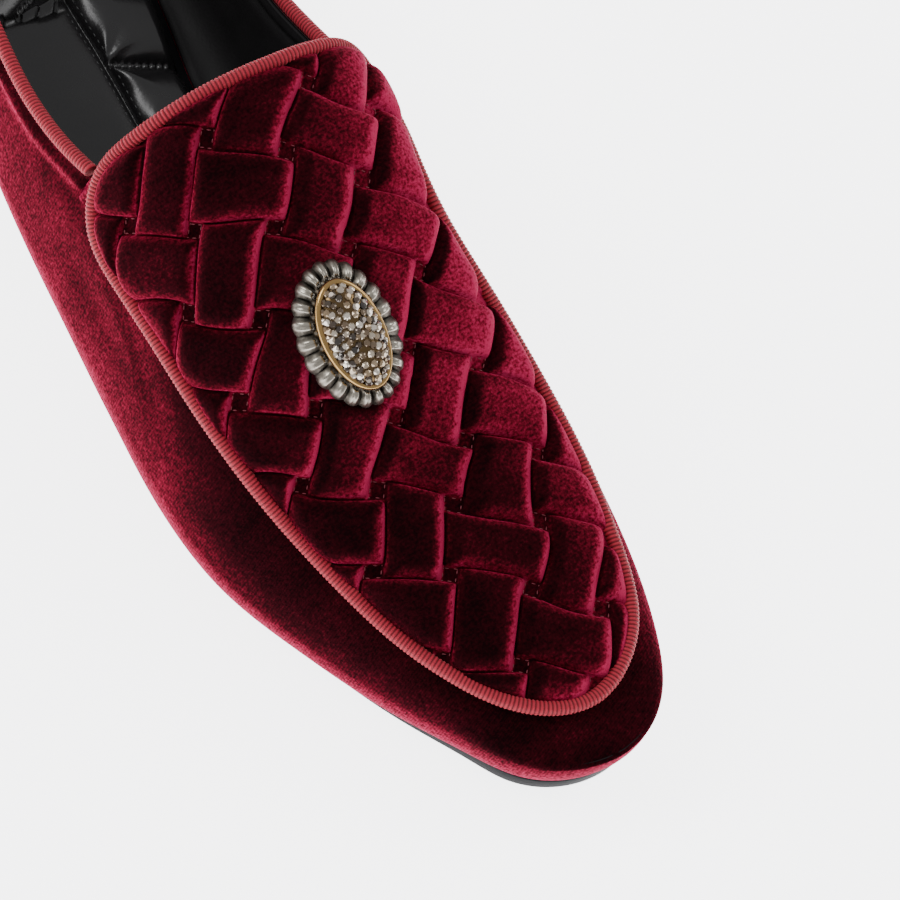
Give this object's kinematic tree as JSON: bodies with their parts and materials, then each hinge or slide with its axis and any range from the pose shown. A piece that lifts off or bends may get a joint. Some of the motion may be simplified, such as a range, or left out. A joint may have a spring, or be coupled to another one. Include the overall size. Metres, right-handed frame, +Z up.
{
  "type": "venetian_loafer",
  "caption": "Right venetian loafer in burgundy velvet with a quilted basket-weave apron, ribbed piping, an oval stone brooch, padded black sock and a thin dark sole with a low heel",
  "frame": {"origin": "middle of the whole shoe's box in plan, on the floor that it stands on", "axes": "+Z up, toe towards -Y, inner side of the foot towards +X"},
  "size_m": [0.0934, 0.292, 0.0916],
  "materials": {
    "velvet": "dense short cotton velvet, burgundy, dark where the pile faces the eye and lighter along grazing edges",
    "quilted_velvet": "burgundy velvet over padding, stitched as a basket weave",
    "ribbon": "ribbed grosgrain ribbon over a cord, matte with a slight sheen",
    "sock_leather": "smooth black lining leather, padded and quilted, low gloss",
    "sole_leather": "dark dyed sole leather with a smooth edge",
    "stacked_heel": "black dyed heel stack, waxed",
    "heel_rubber": "matte rubber wearing piece",
    "antique_silver": "darkened silver plate, polished on the high places",
    "aged_brass": "aged brass, satin",
    "cut_stones": "small round cut stones, champagne and grey"
  },
  "bodies": {
    "root": {"upper": "velvet", "apron": "quilted_velvet", "apron_piping": "ribbon", "collar_piping": "ribbon", "insole": "sock_leather", "outsole": "sole_leather", "heel_block": "stacked_heel", "heel_top_piece": "heel_rubber", "brooch_rim": "antique_silver", "brooch_collet": "aged_brass", "brooch_stones": "cut_stones"}
  },
  "joints": []
}
